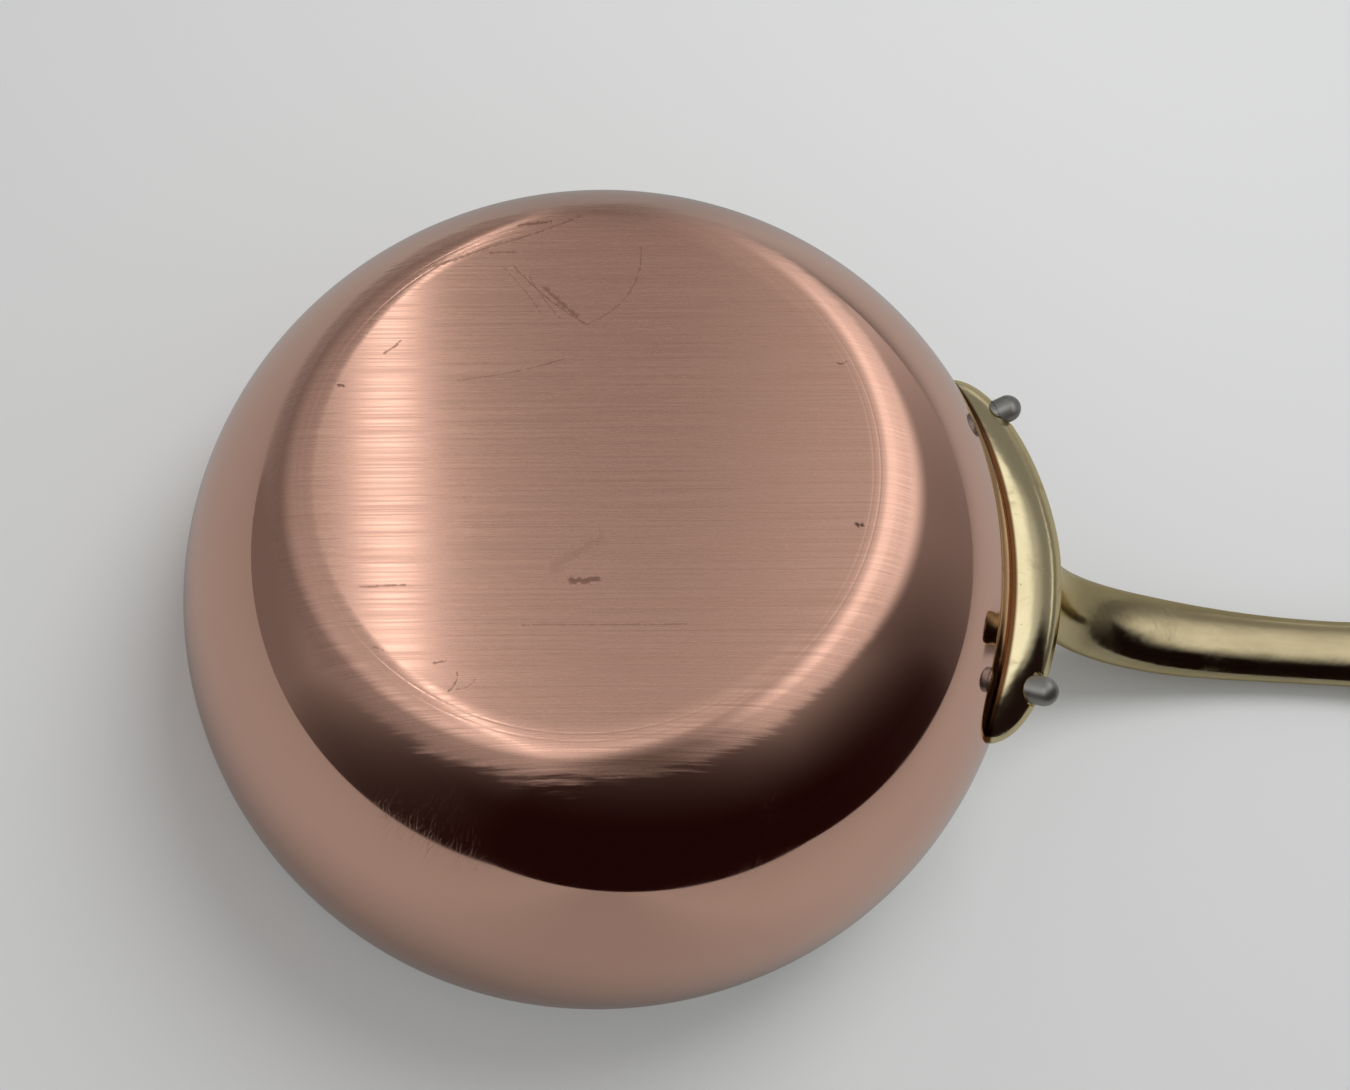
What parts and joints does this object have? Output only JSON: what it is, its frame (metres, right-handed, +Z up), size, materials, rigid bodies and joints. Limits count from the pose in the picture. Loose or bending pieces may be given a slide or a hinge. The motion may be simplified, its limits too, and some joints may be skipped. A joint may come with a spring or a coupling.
{
  "type": "saute pan",
  "caption": "Round saute pan with splayed, curved copper walls, a steel lining and a long cast handle riveted on by a wide flange, for cooking on a hob.",
  "frame": {"origin": "centre of the underside of the flat base", "axes": "+Z up out of the bowl, +X along the handle, mirror symmetric about the XZ plane"},
  "size_m": [0.3848, 0.2, 0.1396],
  "materials": {
    "copper": "polished copper wall, straight brushed grain on the base",
    "lining": "satin, brushed round the bowl",
    "handle_bronze": "cast and polished, with light tarnish",
    "rivet_steel": "dull, tumbled"
  },
  "bodies": {
    "root": {"copper_shell": "copper", "steel_lining": "lining", "cast_handle": "handle_bronze", "rivet_left": "rivet_steel", "rivet_right": "rivet_steel"}
  },
  "joints": []
}
